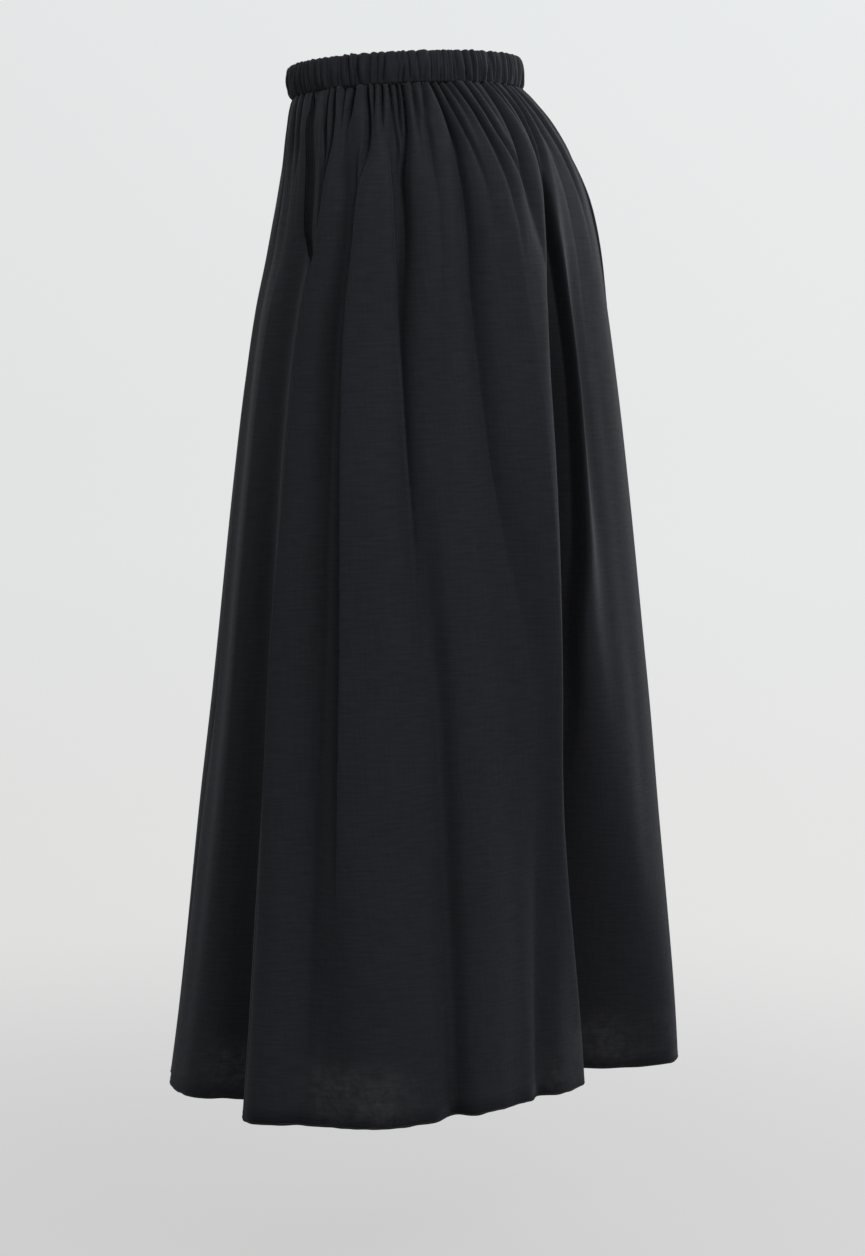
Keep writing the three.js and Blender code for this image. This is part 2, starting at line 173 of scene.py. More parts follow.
# Tucks drawn in by the elastic: angle at the seam, 45 mm and 100 mm down, how deep, how far down, width
# in degrees
tucks = [
    (94, 91, 88, 3.2, 66, 1.2), (97.5, 95, 91, 3.4, 84, 1.2), (102, 98, 94, 2.6, 40, 1.0),
    (107, 100, 97, 3.8, 42, 1.2), (113.5, 111, 107, 4.2, 108, 1.2), (117, 113, 112, 3.0, 34, 0.9),
    (121, 116, 114, 3.4, 42, 1.0), (124.5, 121, 120, 3.0, 34, 0.9), (128.5, 124, 122, 3.6, 48, 1.0),
    (131, 126.5, 121.5, 4.6, 125, 1.2),
    (136, 131, 129, 2.8, 44, 1.0), (141, 135, 133, 3.0, 56, 1.1), (145, 145, 144, 3.6, 130, 1.2),
    (149, 150, 152, 3.2, 86, 1.0), (152.5, 154, 155, 1.8, 28, 0.9), (156.5, 158.5, 160, 4.0, 100, 1.2),
    (162.5, 163, 167, 3.0, 88, 1.1), (167, 167, 167, 1.8, 26, 0.9), (172.5, 171.5, 168.5, 4.0, 112, 1.3),
    (176.5, 177, 177, 2.2, 34, 0.9), (180.5, 183.5, 182, 4.0, 92, 1.2), (187.5, 187, 184.5, 3.6, 96, 1.2),
    (193, 194, 195, 2.4, 44, 1.0), (198.5, 200, 201, 3.4, 84, 1.2), (205, 204, 204, 2.2, 30, 1.0),
    (211, 212, 214, 3.8, 112, 1.3), (217, 217, 218, 2.0, 36, 0.9), (223.5, 225, 227, 3.2, 72, 1.2),
    (231, 230, 229, 3.8, 98, 1.2), (236.5, 237, 238, 2.0, 28, 0.9), (243, 242, 242, 3.2, 66, 1.1),
    (251, 252, 254, 2.6, 48, 1.1), (257.5, 258, 258, 3.6, 104, 1.2), (266, 267, 267, 2.4, 52, 1.1),
    (278, 280, 281, 1.6, 34, 1.1), (289, 289, 290, 2.6, 64, 1.2), (295.5, 296, 296, 2.0, 30, 0.9),
    (302.5, 301, 300, 3.6, 90, 1.2), (309, 310, 311, 2.4, 46, 1.0), (314.5, 314, 314, 3.0, 60, 1.0),
    (321.5, 323, 324, 3.8, 118, 1.3), (328, 328, 328, 1.8, 26, 0.9), (334.5, 334, 333, 3.2, 78, 1.2),
    (341.5, 342, 343, 2.2, 40, 1.0), (348, 347, 346, 3.6, 96, 1.2), (355, 356, 357, 2.4, 38, 1.0),
    (1.5, 2, 2, 3.8, 120, 1.2), (8, 7, 6, 2.0, 32, 0.9), (14.5, 15, 16, 3.0, 70, 1.1),
    (22.5, 23, 24, 2.6, 50, 1.0), (28.5, 28, 28, 3.6, 94, 1.2), (36, 37, 38, 2.0, 30, 0.9),
    (43, 43, 42, 3.4, 84, 1.2), (50, 51, 52, 2.4, 44, 1.0), (57.5, 57, 56, 3.4, 100, 1.2),
    (65, 64, 64, 2.2, 40, 1.1), (71.5, 70, 69, 1.8, 54, 1.2),
]
tuckDepths = (0, 45, 100, 240)
tuckShape = {
    "width": 0.66,
    "widensOver": 160,
    "drop": 4.6,
    "roundness": 1.3,
    "shoulder": 0.6,
    "shoulderWidth": 3.5,
    "shareAtSeam": 0.7,
    "fullDepth": 12,
}

# Crisp edges of the larger folds: angle at the fold depths, out on the lower and higher angle side,
# how wide each side is in mm, the depths where it starts and ends, and how far each side laps over the other
creases = [
    {"angle": (98.5, 92.4, 90, 90, 90), "out": (-10, 3), "width": (20, 26), "span": (70, 640),
     "lap": (0, -5)},
    {"angle": (113, 106.3, 107, 109.4, 109.5), "out": (-11, 4), "width": (20, 46), "span": (75, 690),
     "lap": (0, -6)},
    {"angle": (117, 116.5, 121, 128, 131), "out": (2, -11), "width": (16, 32), "span": (60, 450),
     "lap": (5, 0)},
    {"angle": (143, 142.5, 146.5, 158, 165), "out": (-8, -8), "width": (6, 10), "span": (95, 500)},
    {"angle": (158, 159, 160, 163, 168), "out": (4, 4), "width": (30, 11), "span": (100, 640)},
    {"angle": (180, 180, 180, 184, 190), "out": (-16, -16), "width": (18, 12), "span": (480, 900)},
    {"angle": (185, 184.5, 183.6, 185, 188), "out": (-21, 2), "width": (26, 16), "span": (110, 580),
     "lap": (0, -13)},
    {"angle": (222, 223, 226, 230, 236), "out": (-9, 3), "width": (16, 28), "span": (80, 700),
     "lap": (0, -5)},
    {"angle": (245, 243, 241, 243, 246), "out": (5, 5), "width": (42, 16), "span": (90, 820)},
    {"angle": (262, 262, 263, 262, 262), "out": (2, -9), "width": (24, 18), "span": (60, 560),
     "lap": (5, 0)},
    {"angle": (292, 293, 295, 297, 299), "out": (4, 4), "width": (30, 12), "span": (120, 760)},
    {"angle": (314, 315, 317, 320, 322), "out": (-4, -4), "width": (6, 5), "span": (90, 500)},
    {"angle": (330, 331, 333, 335, 337), "out": (2, -10), "width": (16, 30), "span": (60, 640),
     "lap": (5, 0)},
    {"angle": (350, 350, 351, 352, 353), "out": (5.5, 5.5), "width": (16, 42), "span": (100, 850)},
    {"angle": (8, 8, 9, 10, 11), "out": (-4, -4), "width": (5, 7), "span": (80, 420)},
    {"angle": (32, 33, 34, 35, 36), "out": (5, 5), "width": (40, 16), "span": (110, 800)},
    {"angle": (46, 47, 49, 51, 52), "out": (-9, 2), "width": (26, 16), "span": (60, 560),
     "lap": (0, -5)},
    {"angle": (68, 67, 66, 65, 65), "out": (3, 3), "width": (22, 12), "span": (180, 760)},
]
creaseShape = {"soft": 1.3, "lapWidth": 22, "fadeIn": 50, "fadeOut": 150}

# Broad soft troughs, most of them low on the skirt: angle and out at the fold depths, width in degrees
troughs = [
    {"angle": (187, 187, 187.5, 189, 192), "width": 4.2, "out": (0, -9, -15, -9, 0)},
    {"angle": (124, 124, 126, 132, 137), "width": 3.2, "out": (0, 0, 0, -9, -16)},
    {"angle": (150, 150, 152, 158, 164), "width": 2.8, "out": (0, 0, 0, -5, -12)},
    {"angle": (100, 100, 101, 102, 103), "width": 2.2, "out": (0, 0, -3, -5, -4)},
    {"angle": (232, 232, 230, 229, 228), "width": 3.4, "out": (0, 0, -2, -6, -10)},
    {"angle": (308, 308, 308, 309, 311), "width": 3.2, "out": (0, 0, -2, -7, -12)},
    {"angle": (344, 344, 343, 342, 341), "width": 3.6, "out": (0, 0, -2, -6, -12)},
    {"angle": (24, 24, 25, 27, 29), "width": 3.4, "out": (0, 0, -2, -7, -12)},
    {"angle": (42, 42, 43, 43, 42), "width": 3.0, "out": (0, 0, -1, -5, -10)},
]

# Light crinkle all over, laid down the cloth
crinkle = {
    "seed": 11,
    "count": 180,
    "height": 0.5,
    "width": (1.6, 4.5),
    "length": (30, 130),
    "highest": 40,
    "slant": 0.02,
}


# A smooth value between rows, with no overshoot past them
def smoothBetween(places, values, place):
    places, values = np.asarray(places, float), np.asarray(values, float)
    x = np.clip(place, places[0], places[-1])
    i = np.clip(np.searchsorted(places, x, side="right") - 1, 0, len(places) - 2)
    span = np.diff(places)
    rise = np.diff(values) / span
    slope = np.zeros(len(places))
    slope[0], slope[-1] = rise[0], rise[-1]
    same = rise[:-1] * rise[1:] > 0
    total = np.where(same, rise[:-1] + rise[1:], 1)
    slope[1:-1] = np.where(same, 2 * rise[:-1] * rise[1:] / total, 0)
    t = (x - places[i]) / span[i]
    fromStart = (2 * t**3 - 3 * t**2 + 1) * values[i] + (t**3 - 2 * t**2 + t) * span[i] * slope[i]
    fromEnd = (3 * t**2 - 2 * t**3) * values[i + 1] + (t**3 - t**2) * span[i] * slope[i + 1]
    return fromStart + fromEnd


def smoothStep(low, high, value):
    t = np.clip((value - low) / (high - low), 0, 1)
    return t * t * (3 - 2 * t)


# One at the centre, falling to nothing on both sides
def bell(angle, centre, width):
    apart = (angle - centre + 180) % 360 - 180
    return np.exp(-((apart / width) ** 2))


# A sum of waves round the skirt
def waves(a, rows):
    return sum(height * np.sin(times * a + start) for height, times, start in rows)


# A rounded ridge and a narrow valley, from about -1 to 1
def pleat(phase):
    return 2 * np.abs(np.cos(phase / 2)) ** gathers["sharpness"] - gathers["valley"]


def gatherOut(angle, depth):
    a = np.radians(angle)
    phase = gathers["count"] * a + waves(a, gathers["shift"])
    uneven = gathers["evenShare"] + waves(a, gathers["uneven"])
    reach = gathers["reach"] + waves(a, gathers["unevenReach"])
    atSeam = gathers["shareAtSeam"]
    puffed = atSeam + (1 - atSeam) * np.minimum(1, depth / gathers["puffDepth"])
    short = gathers["height"] * uneven * puffed * np.exp(-((depth / reach) ** gathers["fade"]))
    longUneven = gathers["longEvenShare"] + waves(a, gathers["longUneven"])
    longFade = np.exp(-((depth / gathers["longReach"]) ** gathers["longFade"]))
    long = gathers["longHeight"] * longUneven * longFade * (1 - np.exp(-depth / gathers["longStart"]))
    place, width = gathers["pocketAngle"], gathers["pocketWidth"]
    calm = 1 - gathers["pocketCalm"] * (bell(angle, place, width) + bell(angle, -place, width))
    return calm * (short * pleat(phase) + long * pleat(phase / 2 + gathers["longShift"]))


def tuckOut(angle, depth):
    out = np.zeros(np.broadcast(angle, depth).shape)
    atSeam = tuckShape["shareAtSeam"]
    drawn = atSeam + (1 - atSeam) * np.minimum(1, depth / tuckShape["fullDepth"])
    for first, second, third, deep, reach, width in tucks:
        centre = smoothBetween(tuckDepths, (first, second, third, third), depth)
        fade = deep * drawn * np.exp(-((depth / reach) ** 2))
        wide = tuckShape["width"] * width * (1 + depth / tuckShape["widensOver"])
        apart = np.abs((angle - centre + 180) % 360 - 180) / wide
        out = out - tuckShape["drop"] * fade * np.exp(-(apart ** tuckShape["roundness"]))
        out = out + tuckShape["shoulder"] * fade * np.exp(-((apart / tuckShape["shoulderWidth"]) ** 2))
    return out


# How far the fold edges and the troughs move the cloth outward, and along the skirt's round
def creaseOut(angle, depth):
    out = np.zeros(np.broadcast(angle, depth).shape)
    along = np.zeros(out.shape)
    side = smoothBetween(sections[:, 0], sections[:, 1], depth)
    back = smoothBetween(sections[:, 0], sections[:, 2], depth)
    perDegree = np.radians((side + back) / 2)
    soft, fadeIn, fadeOut = (creaseShape[key] for key in ("soft", "fadeIn", "fadeOut"))
    for crease in creases:
        middle = smoothBetween(foldDepths, crease["angle"], depth)
        away = ((angle - middle + 180) % 360 - 180) * perDegree
        start, stop = crease["span"]
        shown = smoothStep(start - fadeIn, start + fadeIn, depth)
        shown = shown * (1 - smoothStep(stop - fadeOut, stop + fadeOut, depth))
        near = np.sqrt(away**2 + soft**2) - soft
        lower = crease["out"][0] * np.exp(-near / crease["width"][0])
        higher = crease["out"][1] * np.exp(-near / crease["width"][1])
        share = 0.5 + 0.5 * np.tanh(away / soft)
        out = out + shown * (lower * (1 - share) + higher * share)
        if "lap" in crease:
            lap = crease["lap"][0] * (1 - share) + crease["lap"][1] * share
            along = along + shown * lap * np.exp(-near / creaseShape["lapWidth"])
    for trough in troughs:
        share = bell(angle, smoothBetween(foldDepths, trough["angle"], depth), trough["width"])
        out = out + share * smoothBetween(foldDepths, trough["out"], depth)
    return out, along


def crinkleMarks():
    chance = np.random.default_rng(crinkle["seed"])
    n = crinkle["count"]
    return np.stack([
        chance.uniform(0, 360, n),
        chance.uniform(crinkle["highest"], panel["length"], n),
        chance.uniform(*crinkle["width"], n),
        chance.uniform(*crinkle["length"], n),
        chance.uniform(-1, 1, n) * crinkle["height"],
        chance.uniform(-crinkle["slant"], crinkle["slant"], n),
    ], 1)


crinkles = crinkleMarks()


def crinkleOut(angle, depth):
    out = np.zeros(np.broadcast(angle, depth).shape)
    for centre, middle, width, length, height, slant in crinkles:
        fade = np.exp(-(((depth - middle) / length) ** 2))
        out = out + height * fade * bell(angle, centre + slant * (depth - middle), width)
    return out


# The cloth's outer surface in plan: the sections, then all that moves the cloth outward or along
def clothPlan(angle, depth):
    side = smoothBetween(sections[:, 0], sections[:, 1], depth)
    back = smoothBetween(sections[:, 0], sections[:, 2], depth)
    centre = smoothBetween(sections[:, 0], sections[:, 3], depth)
    out, along = creaseOut(angle, depth)
    out = out + gatherOut(angle, depth) + tuckOut(angle, depth) + crinkleOut(angle, depth)
    out = out - panel["tuckUnder"] * (1 - smoothStep(*panel["tuckUnderDepths"], depth))
    for fold in folds:
        width = fold["width"][0] + (fold["width"][1] - fold["width"][0]) * depth / panel["length"]
        share = bell(angle, smoothBetween(foldDepths, fold["angle"], depth), width)
        out = out + share * smoothBetween(foldDepths, fold["out"], depth)
        if "lean" in fold:
            along = along + share * smoothBetween(foldDepths, fold["lean"], depth)
    a = np.radians(angle)
    nx, ny = np.sin(a) / side, -np.cos(a) / back
    size = np.hypot(nx, ny)
    nx, ny = nx / size, ny / size
    return side * np.sin(a) + nx * out - ny * along, centre - back * np.cos(a) + ny * out + nx * along


def clothHeight(angle, depth):
    turn = np.cos(np.radians(angle))
    top = -panel["bandHeight"] / 2 - panel["waistTilt"] * turn - panel["seamDrop"]
    hem = -panel["bandHeight"] / 2 - panel["length"] + panel["hemRise"] - panel["hemTilt"] * turn
    return top + (hem - top) * depth / panel["length"]


# The outward direction in plan, and millimetres of cloth per degree
def clothSide(angle, depth):
    tiny = 0.02
    x0, y0 = clothPlan(angle - tiny, depth)
    x1, y1 = clothPlan(angle + tiny, depth)
    length = np.hypot(x1 - x0, y1 - y0)
    return (y1 - y0) / length, -(x1 - x0) / length, length / (2 * tiny)


# Points of the cloth, moved in from its outer surface by inset
def clothPoints(angle, depth, inset=0.0, drop=0.0):
    x, y = clothPlan(angle, depth)
    nx, ny, _ = clothSide(angle, depth)
    return np.stack([x - nx * inset, y - ny * inset, clothHeight(angle, depth) - drop], -1)


pocket = {
    "mouthDepths": (0, 40, 95, 130, 150, 168),
    "mouthAngles": (80, 76, 76, 77, 80.5, 90),
    "mouthDepth": 168,
    "bagDepth": 280,
    "bagFrom": 52.5,
    "bagInset": 2.6,
    "bagThickness": 1.0,
    "hipInset": 5.0,
    "hipEase": (2, 16),
    "mouthEndShare": 0.25,
    "mouthHem": (8, 11),
    "mouthHemEnd": (154, 172),
    "mouthHemStands": 0.45,
    "mouthEdgeRound": 0.5,
    "mouthEdgeWidth": 1.2,
    "seamStartsOver": 6,
    "caughtDepth": 16,
    "caughtBeside": (-1, 3),
    "columns": 120,
    "rows": 80,
}


def besideSeam(angle, depth, side):
    return angle + side * panel["seamGap"] / 2 / clothSide(angle, depth)[2]


# The front panel's edge on one side: the pocket mouth, then the side seam
def frontEdge(depth, side):
    mouth = smoothBetween(pocket["mouthDepths"], pocket["mouthAngles"], depth)
    seam = np.abs(besideSeam(side * panel["sideSeam"] + 0 * depth, depth, -side))
    return side * np.where(depth < pocket["mouthDepth"], np.minimum(mouth, seam), seam)


def rowDepths(count):
    t = np.linspace(0, 1, count + 1)
    return panel["length"] * (panel["topRowShare"] * t + (1 - panel["topRowShare"]) * t**2)


# A mesh of spots in millimetres, shaded smooth, with an empty UV map for the flat cut
def addMesh(name, spots, faces):
    mesh = bpy.data.meshes.new(name)
    mesh.from_pydata((spots.reshape(-1, 3) * millimetre).tolist(), [], faces)
    mesh.uv_layers.new(name="cut")
    mesh.polygons.foreach_set("use_smooth", np.ones(len(mesh.polygons), bool))
    mesh.update()
    piece = bpy.data.objects.new(name, mesh)
    scene.collection.objects.link(piece)
    return piece


# A sheet from rows of points, with the flat cut's own coordinates as its UV map
def addSheet(name, points, cut, closed=False):
    rows, columns = points.shape[:2]
    spans = columns if closed else columns - 1
    r, c = np.meshgrid(np.arange(rows - 1), np.arange(spans), indexing="ij")
    nextColumn = (c + 1) % columns
    top, bottom = r * columns, (r + 1) * columns
    faces = np.stack([top + c, bottom + c, bottom + nextColumn, top + nextColumn], -1)
    piece = addMesh(name, points, faces.reshape(-1, 4).tolist())
    corner = np.stack([cut[r, c], cut[r + 1, c], cut[r + 1, c + 1], cut[r, c + 1]], -2)
    layer = piece.data.uv_layers["cut"]
    layer.data.foreach_set("uv", (corner.reshape(-1, 2) * millimetre).ravel())
    return piece


# Where each point lies on the flat cut: the length of cloth from the middle of its row, and its depth
def cutPlaces(points, depths):
    step = np.linalg.norm(np.diff(points, axis=1), axis=2)
    across = np.concatenate([np.zeros((len(points), 1)), np.cumsum(step, axis=1)], axis=1)
    across = across - across[:, [across.shape[1] // 2]]
    return np.stack([across, np.broadcast_to(depths[:, None], across.shape)], -1)


def giveWall(piece, thickness):
    wall = piece.modifiers.new("wall", "SOLIDIFY")
    wall.thickness = thickness * millimetre
    wall.offset = -1
    wall.use_rim = True


# Puts a number or another node's output in a socket
def feed(tree, value, socket):
    if isinstance(value, (int, float)):
        socket.default_value = value
    else:
        tree.links.new(value, socket)


def addMath(tree, kind, *values):
    node = tree.nodes.new("ShaderNodeMath")
    node.operation = kind
    for value, socket in zip(values, node.inputs):
        feed(tree, value, socket)
    return node.outputs[0]


def addRange(tree, value, spread, become=(0, 1), smooth=False):
    node = tree.nodes.new("ShaderNodeMapRange")
    node.interpolation_type = "SMOOTHSTEP" if smooth else "LINEAR"
    for name, number in zip(("From Min", "From Max", "To Min", "To Max"), (*spread, *become)):
        node.inputs[name].default_value = number
    tree.links.new(value, node.inputs["Value"])
    return node.outputs[0]


def addNoise(tree, place, scale, detail, roughness=0.5):
    node = tree.nodes.new("ShaderNodeTexNoise")
    node.inputs["Scale"].default_value = scale
    node.inputs["Detail"].default_value = detail
    node.inputs["Roughness"].default_value = roughness
    tree.links.new(place, node.inputs["Vector"])
    return node.outputs["Fac"]


def addSplit(tree, vector):
    node = tree.nodes.new("ShaderNodeSeparateXYZ")
    tree.links.new(vector, node.inputs[0])
    return node.outputs


# Threads a metre, and how often each kind of noise repeats across and down the cut, with its seed
weaveLook = {
    "threads": 2400.0,
    "threadHeight": 0.2,
    "weftSlub": (42.0, 460.0, 0.0),
    "warpSlub": (430.0, 24.0, 4.0),
    "puckers": (130.0, 60.0, 9.0),
    "clouds": (9.0, 5.0, 17.0),
    "weftShare": 0.65,
    "slubHeight": 2.0,
    "slubRoughness": -0.25,
    "cloudTone": 0.25,
    "noiseDetail": 3.0,
    "cloudDetail": 2.0,
}


# Fabric shader group: threads, slubs and puckers on the flat cut
def makeWeave():
    group = bpy.data.node_groups.new("charcoalWeave", "ShaderNodeTree")
    group.interface.new_socket("Cut", in_out="INPUT", socket_type="NodeSocketVector")
    for name, value in (("Threads per metre", weaveLook["threads"]), ("Slub", 0.5), ("Crinkle", 0.5)):
        group.interface.new_socket(name, in_out="INPUT", socket_type="NodeSocketFloat").default_value = value
    for name in ("Height", "Tone", "Roughness"):
        group.interface.new_socket(name, in_out="OUTPUT", socket_type="NodeSocketFloat")
    start = group.nodes.new("NodeGroupInput").outputs
    end = group.nodes.new("NodeGroupOutput").inputs
    split = addSplit(group, start["Cut"])

    def maths(kind, *values):
        return addMath(group, kind, *values)

    def stretched(look, detail):
        join = group.nodes.new("ShaderNodeCombineXYZ")
        across, down, seed = weaveLook[look]
        feed(group, maths("MULTIPLY", split["X"], across), join.inputs["X"])
        feed(group, maths("MULTIPLY", split["Y"], down), join.inputs["Y"])
        feed(group, seed, join.inputs["Z"])
        return addNoise(group, join.outputs[0], 1.0, detail)

    turns = maths("MULTIPLY", start["Threads per metre"], math.pi)
    warp = maths("SINE", maths("MULTIPLY", split["X"], turns))
    weft = maths("SINE", maths("MULTIPLY", split["Y"], turns))
    over = maths("MULTIPLY", warp, weft)
    rounds = maths("ADD", maths("ABSOLUTE", warp), maths("ABSOLUTE", weft))
    threads = maths("MULTIPLY", maths("ADD", rounds, over), weaveLook["threadHeight"])
    weftSlub = maths("MULTIPLY", stretched("weftSlub", weaveLook["noiseDetail"]), weaveLook["weftShare"])
    warpSlub = maths("MULTIPLY", stretched("warpSlub", weaveLook["noiseDetail"]), 1 - weaveLook["weftShare"])
    slub = maths("ADD", weftSlub, warpSlub)
    thick = maths("MULTIPLY", maths("SUBTRACT", slub, 0.5), start["Slub"])
    puckers = maths("MULTIPLY", stretched("puckers", weaveLook["noiseDetail"]), start["Crinkle"])
    raised = maths("ADD", threads, maths("MULTIPLY", thick, weaveLook["slubHeight"]))
    clouds = maths("SUBTRACT", stretched("clouds", weaveLook["cloudDetail"]), 0.5)
    cloudy = maths("MULTIPLY", clouds, weaveLook["cloudTone"])
    feed(group, maths("ADD", raised, puckers), end["Height"])
    feed(group, maths("ADD", maths("ADD", 1.0, thick), cloudy), end["Tone"])
    feed(group, maths("MULTIPLY", thick, weaveLook["slubRoughness"]), end["Roughness"])
    return group


weave = makeWeave()

clothLook = {
    "colour": (0.0196, 0.02, 0.0248),
    # The next colour is painted light: the paler patches where light comes through the single cloth near the
    # hem
    "paintedHemLightColour": (0.042, 0.042, 0.0465),
    "roughness": 0.72,
    "specular": 0.11,
    "sheen": 0.1,
    "sheenRoughness": 0.4,
    "sheenTint": (0.75, 0.8, 0.9),
    "bump": 0.35,
    "bumpDistance": 0.0004,
}
pocketLook = {**clothLook, "colour": (0.016, 0.0163, 0.02)}

# Painted light through the single cloth near the hem: where it starts down the cut, its soft patches, where
# along the cut they lie, their flecks
paintedHemLightLook = {
    "start": (0.9, 0.935),
    "patchScale": 8,
    "patchDetail": 3,
    "patchEdge": (0.4, 0.56),
    "patchSpacing": 0.26,
    "firstPatch": 0.35,
    "patchWidth": (-0.2, 0.8),
    "grainScale": 95,
    "grainDetail": 5,
    "grainRoughness": 0.65,
    "fleckEdge": (0.36, 0.64),
    "leastFleck": 0.15,
}


# How much of the painted light through the hem shows at each place of the cut
def addPaintedHemLight(tree, cut):
    split = addSplit(tree, cut)
    near = addRange(tree, split["Y"], paintedHemLightLook["start"], smooth=True)
    patches = addNoise(tree, cut, paintedHemLightLook["patchScale"], paintedHemLightLook["patchDetail"])
    patchy = addRange(tree, patches, paintedHemLightLook["patchEdge"])
    perMetre = 2 * math.pi / paintedHemLightLook["patchSpacing"]
    beside = addMath(tree, "ABSOLUTE", split["X"])
    turn = addMath(tree, "MULTIPLY_ADD", beside, perMetre, -perMetre * paintedHemLightLook["firstPatch"])
    placed = addRange(tree, addMath(tree, "COSINE", turn), paintedHemLightLook["patchWidth"], smooth=True)
    grain = addNoise(tree, cut, paintedHemLightLook["grainScale"], paintedHemLightLook["grainDetail"], paintedHemLightLook["grainRoughness"])
    flecks = addRange(tree, grain, paintedHemLightLook["fleckEdge"], (paintedHemLightLook["leastFleck"], 1))
    here = addMath(tree, "MULTIPLY", addMath(tree, "MULTIPLY", near, patchy), placed)
    return addMath(tree, "MULTIPLY", here, flecks)


# Cloth material; near the hem, light that the single cloth lets through is painted into its colour as paler
# patches
def makeCloth(name, look, slub, puckers, hem):
    material = bpy.data.materials.new(name)
    material.use_nodes = True
    tree = material.node_tree
    nodes, links = tree.nodes, tree.links
    shader = nodes["Principled BSDF"]
    shader.inputs["Specular IOR Level"].default_value = look["specular"]
    shader.inputs["Sheen Weight"].default_value = look["sheen"]
    shader.inputs["Sheen Roughness"].default_value = look["sheenRoughness"]
    shader.inputs["Sheen Tint"].default_value = (*look["sheenTint"], 1)
    cut = nodes.new("ShaderNodeUVMap")
    cut.uv_map = "cut"
    cloth = nodes.new("ShaderNodeGroup")
    cloth.node_tree = weave
    cloth.inputs["Slub"].default_value = slub
    cloth.inputs["Crinkle"].default_value = puckers
    links.new(cut.outputs[0], cloth.inputs["Cut"])
    links.new(addMath(tree, "ADD", cloth.outputs["Roughness"], look["roughness"]), shader.inputs["Roughness"])
    base = nodes.new("ShaderNodeMix")
    base.data_type = "RGBA"
    base.inputs["A"].default_value = (*look["colour"], 1)
    base.inputs["B"].default_value = (*look["paintedHemLightColour"], 1)
    # The paler hem patches mixed in here are painted light coming through the single cloth
    feed(tree, addPaintedHemLight(tree, cut.outputs[0]) if hem else 0, base.inputs["Factor"])
    tone = nodes.new("ShaderNodeVectorMath")
    tone.operation = "SCALE"
    links.new(base.outputs["Result"], tone.inputs[0])
    links.new(cloth.outputs["Tone"], tone.inputs["Scale"])
    links.new(tone.outputs[0], shader.inputs["Base Color"])
    bump = nodes.new("ShaderNodeBump")
    bump.inputs["Strength"].default_value = look["bump"]
    bump.inputs["Distance"].default_value = look["bumpDistance"]
    links.new(cloth.outputs["Height"], bump.inputs["Height"])
    links.new(bump.outputs[0], shader.inputs["Normal"])
    return material


# Only the skirt's cloth has the painted light through the hem
skirtCloth = makeCloth("skirtCloth", clothLook, slub=1.0, puckers=0.7, hem=True)
bandCloth = makeCloth("bandCloth", clothLook, slub=0.5, puckers=0.3, hem=False)
pocketCloth = makeCloth("pocketCloth", pocketLook, slub=0.4, puckers=0.3, hem=False)
print("cloth materials made")


# Each panel is one cloth here, and stands for its three solids
def partsOf(node):
    return [node + "_" + part for part in ("upper", "middle", "lower")]


def dress(piece, nodes, material):
    piece.data.materials.append(material)
    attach(piece, "root")
    if nodes:
        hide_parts(*nodes)
    print(piece.name, "made:", len(piece.data.polygons), "faces")


# A piece of cloth with its wall, and the solids it stands for
def makePiece(name, points, depths, nodes, thickness=panel["thickness"], material=skirtCloth):
    piece = addSheet(name, points, cutPlaces(points, depths))
    giveWall(piece, thickness)
    dress(piece, nodes, material)
    return piece


# Small wobble of the hem, as the rolled edge pulls the cloth
hemWobble = {"height": 0.7, "reach": 30, "swell": (0.5, 31, 2.3, 5), "waves": [(0.15, 71, 2), (0.6, 14, 0.5)]}


def hemDrop(angle, depth):
    a = np.radians(angle)
    height, times, sway, swayTimes = hemWobble["swell"]
    wave = height * np.sin(times * a + sway * np.sin(swayTimes * a)) + waves(a, hemWobble["waves"])
    start = panel["length"] - hemWobble["reach"]
    return hemWobble["height"] * wave * smoothStep(start, panel["length"], depth)


# A doubled, stitched edge along the pocket mouth
def mouthFold(angle, depth, side):
    edge = frontEdge(depth, side)
    away = np.abs(edge - angle) * clothSide(edge, depth)[2]
    doubled = pocket["mouthHemStands"] * (1 - smoothStep(*pocket["mouthHem"], away))
    rounded = 1 - np.clip(away / pocket["mouthEdgeWidth"], 0, 1)
    above = 1 - smoothStep(*pocket["mouthHemEnd"], depth)
    return (doubled - pocket["mouthEdgeRound"] * rounded**2) * above


# A seam sinks a little into the cloth beside it
def seamDip(angle, depth, edge):
    away = np.abs(edge - angle) * clothSide(edge, depth)[2]
    return panel["seamDip"] * np.exp(-((away / panel["seamDipWidth"]) ** 2))


# The front's columns are even over most of it, and follow its edges beyond
def makeFrontPanel():
    depths = rowDepths(panel["rows"])
    share = np.linspace(-1, 1, panel["columns"] + 1)
    depth = depths[:, None] + 0 * share[None, :]
    evenShare = panel["evenShare"]
    beyond = np.clip((np.abs(share) - evenShare) / (1 - evenShare), 0, 1)
    left, right = frontEdge(depths, 1)[:, None], frontEdge(depths, -1)[:, None]
    edge = np.where(share > 0, left, right)
    even = np.clip(share, -evenShare, evenShare) * panel["sideSeam"]
    angle = even + (edge - np.sign(share) * evenShare * panel["sideSeam"]) * beyond
    inset = -mouthFold(angle, depth, 1) - mouthFold(angle, depth, -1)
    below = smoothStep(pocket["mouthDepth"], pocket["mouthDepth"] + pocket["seamStartsOver"], depth)
    inset = inset + below * (seamDip(angle, depth, left) + seamDip(angle, depth, right))
    points = clothPoints(angle, depth, inset, hemDrop(angle, depth))
    return makePiece("frontPanel", points, depths, partsOf("front_panel")), angle[-1]


